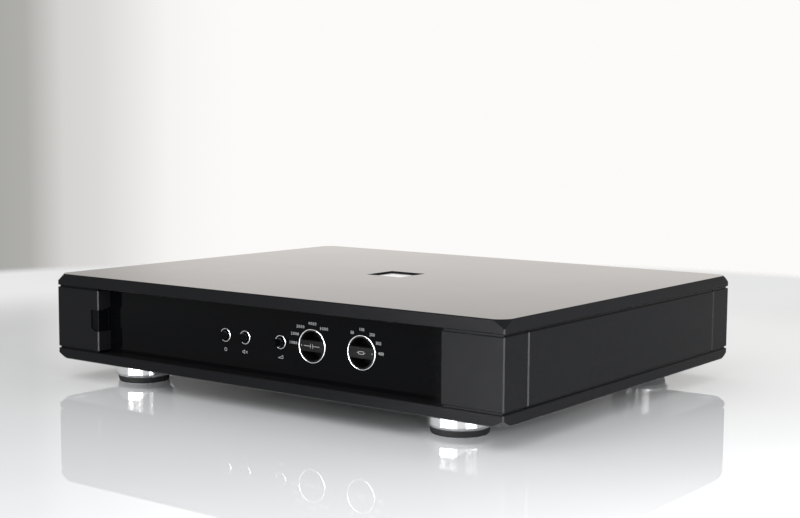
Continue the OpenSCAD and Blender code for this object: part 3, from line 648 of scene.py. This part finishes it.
def dial_mark(name, knob, side, body):
    """Drop of white paint in the recess at one end of a dial's grip bar."""
    bm = bmesh.new()
    centre = Vector((middle(knob).x + side * MARK_AT, DIAL_FACE_Y + MARK_DEEP, CONTROL_Z))
    loops = []
    for ring in range(MARK_RINGS):
        tilt = ring / MARK_RINGS * math.pi / 2
        radius, height = MARK_R * math.cos(tilt), MARK_DEEP * MARK_FILL * math.sin(tilt)
        loops.append([
            bm.verts.new(centre + Vector((px, -height, pz)))
            for px, pz in circle((0, 0), radius, MARK_SIDES)
        ])
    for low, high in zip(loops, loops[1:]):
        for i in range(MARK_SIDES):
            j = (i + 1) % MARK_SIDES
            bm.faces.new((low[i], low[j], high[j], high[i]))
    bm.faces.new(loops[0])
    bm.faces.new(loops[-1])
    bmesh.ops.recalc_face_normals(bm, faces=bm.faces)
    mesh = bpy.data.meshes.new(name)
    bm.to_mesh(mesh)
    bm.free()
    mesh.shade_smooth()
    add_piece(name, mesh, "white_print", body)


dial_mark("capacitance_mark", "capacitance_knob", -1, "capacitance_dial")
dial_mark("load_mark", "load_knob", 1, "load_dial")

# ---- Floor, backdrop and lamps ----

FLOOR_R = 1.6
FLOOR_SIDES = 96
# Distances from the object over which the floor turns matt, and over which it fades out
FLOOR_MATT = (0.45, 0.75)
FLOOR_FADE = (0.93, 1.03)
# Way in which painted backlight makes the floor paler behind the object, and the distances over which it
# does
FLOOR_HEADING = math.radians(36.7)
FLOOR_PAINTED_BACKLIGHT = (0.25, 0.6)


def floor_finish():
    """Glossy pale sheet that turns matt away from the object, paler behind it with painted backlight, and
    fades out into the backdrop.
    """
    finish = Finish("pale_floor", Specular_IOR_Level=0.5)
    ripple = finish.noise(7, 2)
    finish.set("Base Color", finish.mix(ripple, (0.80, 0.815, 0.835), (0.84, 0.855, 0.875)))
    finish.set("Roughness", finish.spread(ripple, 0.008, 0.014))
    x, y, _ = finish.axes(finish.place)
    squares = finish.math("ADD", finish.math("MULTIPLY", x, x), finish.math("MULTIPLY", y, y))
    reach = finish.math("SQRT", squares)
    along = finish.math("MULTIPLY", y, math.cos(FLOOR_HEADING))
    ahead = finish.math("SUBTRACT", along, finish.math("MULTIPLY", x, math.sin(FLOOR_HEADING)))
    near = finish.mix(ripple, (0.82, 0.83, 0.84), (0.84, 0.85, 0.86))
    far = finish.mix(ripple, (0.93, 0.94, 0.95), (0.95, 0.96, 0.97))
    matt = finish.node("BsdfDiffuse")
    # Painted backlight: the matt floor is paler behind the object.
    painted_backlight = finish.spread(ahead, 0.0, 1.0, *FLOOR_PAINTED_BACKLIGHT, smooth=True)
    finish.join(finish.mix(painted_backlight, near, far), matt.inputs["Color"])
    surface = finish.shader.outputs[0]
    for shader, stretch in ((matt, FLOOR_MATT), (finish.node("BsdfTransparent"), FLOOR_FADE)):
        share = finish.spread(reach, 0.0, 1.0, *stretch, smooth=True)
        surface = finish.blend(share, surface, shader.outputs[0])
    finish.join(surface, finish.tree.nodes["Material Output"].inputs["Surface"])
    return finish.material


def add_floor():
    bm = bmesh.new()
    bm.faces.new([bm.verts.new((x, y, 0)) for x, y in circle((0, 0), FLOOR_R, FLOOR_SIDES)])
    mesh = bpy.data.meshes.new("floor")
    bm.to_mesh(mesh)
    bm.free()
    floor = bpy.data.objects.new("floor", mesh)
    mesh.materials.append(floor_finish())
    scene.collection.objects.link(floor)


BACKDROP_WHITE = (0.98, 0.962, 0.945)
BACKDROP_GREY = (0.392, 0.390, 0.376)
# Heading in degrees, from +Y towards +X, against the share of white
BACKDROP_STOPS = (
    (-180, 0.8), (-165, 0.8), (-150, 0.0), (-53, 0.0), (-52, 0.06),
    (-50.6, 0.46), (-49, 0.55), (-46.5, 0.9), (-44, 1.0), (-18, 1.0),
    (2, 0.3), (25, 0.0), (90, 0.0), (110, 0.8), (180, 0.8),
)
# Strength of the backdrop high above the object, and the heights of a ray between which it drops
OVERHEAD_DARK = 0.25
OVERHEAD_RISE = (0.25, 0.6)
# Strength and colour of the even light from all round
AMBIENT = 0.80
AMBIENT_COLOR = (1.0, 0.99, 0.98, 1.0)


def backdrop_color(nodes, heading):
    """Colour of the backdrop in a heading, from the stops."""
    ramp = nodes.node("ValToRGB")
    stops = ramp.color_ramp.elements
    while len(stops) < len(BACKDROP_STOPS):
        stops.new(0.5)
    for stop, (degrees, white) in zip(stops, BACKDROP_STOPS):
        stop.position = (degrees + 180) / 360
        stop.color = (*(g + (w - g) * white for g, w in zip(BACKDROP_GREY, BACKDROP_WHITE)), 1.0)
    nodes.join(nodes.spread(heading, 0.0, 1.0, -math.pi, math.pi), ramp.inputs["Fac"])
    return ramp.outputs["Color"]


def background(nodes, color, strength):
    made = nodes.node("Background")
    nodes.join(color, made.inputs["Color"])
    nodes.join(strength, made.inputs["Strength"])
    return made.outputs[0]


def add_world():
    """Backdrop that eyes, metal and glass see, over an even ambient light."""
    world = bpy.data.worlds.new("studio")
    world.use_nodes = True
    world.node_tree.nodes.clear()
    scene.world = world
    nodes = Nodes(world.node_tree)
    x, y, z = nodes.axes(nodes.node("TexCoord").outputs["Generated"])
    color = backdrop_color(nodes, nodes.math("ARCTAN2", x, y))
    backdrop = background(nodes, color, nodes.spread(z, 1.0, OVERHEAD_DARK, *OVERHEAD_RISE))
    ambient = background(nodes, AMBIENT_COLOR, AMBIENT)
    rays = nodes.node("LightPath").outputs
    seen = rays["Is Camera Ray"]
    for kind in ("Is Glossy Ray", "Is Transmission Ray"):
        seen = nodes.math("MAXIMUM", seen, rays[kind])
    nodes.join(nodes.blend(seen, ambient, backdrop), nodes.node("OutputWorld").inputs["Surface"])


# Name, place, aim, width and height, watts, and whether it makes only highlights
LAMPS = (
    ("key", (-0.05, -1.05, 0.95), (0.0, -0.15, 0.03), (0.8, 0.8), 3.2, False),
    ("front", (0.36, -0.95, 0.20), (0.16, 0.0, 0.05), (0.30, 0.25), 1.9, False),
    ("front_gloss", (0.073, -1.11, 0.13), (0.073, 0.0, 0.13), (0.71, 0.25), 5.0, True),
    ("front_left", (-0.31, -1.10, 0.15), (0.17, 0.0, 0.05), (0.30, 0.29), 6.0, True),
    ("right", (0.66, -0.30, 0.17), (0.0, -0.20, 0.06), (0.36, 0.25), 2.1, False),
)


def add_lamp(name, place, aim, size, watts, only_gloss):
    """Softbox at place, turned towards aim. One only for gloss lights no matt faces."""
    lamp = bpy.data.objects.new(name, bpy.data.lights.new(name, "AREA"))
    lamp.data.shape = "RECTANGLE"
    lamp.data.size, lamp.data.size_y = size
    lamp.data.energy = watts
    lamp.visible_camera = False
    lamp.visible_diffuse = not only_gloss
    lamp.location = place
    lamp.rotation_euler = (Vector(aim) - Vector(place)).to_track_quat("-Z", "Y").to_euler()
    scene.collection.objects.link(lamp)


add_floor()
add_world()
for lamp in LAMPS:
    add_lamp(*lamp)

scene.view_settings.view_transform = "Standard"
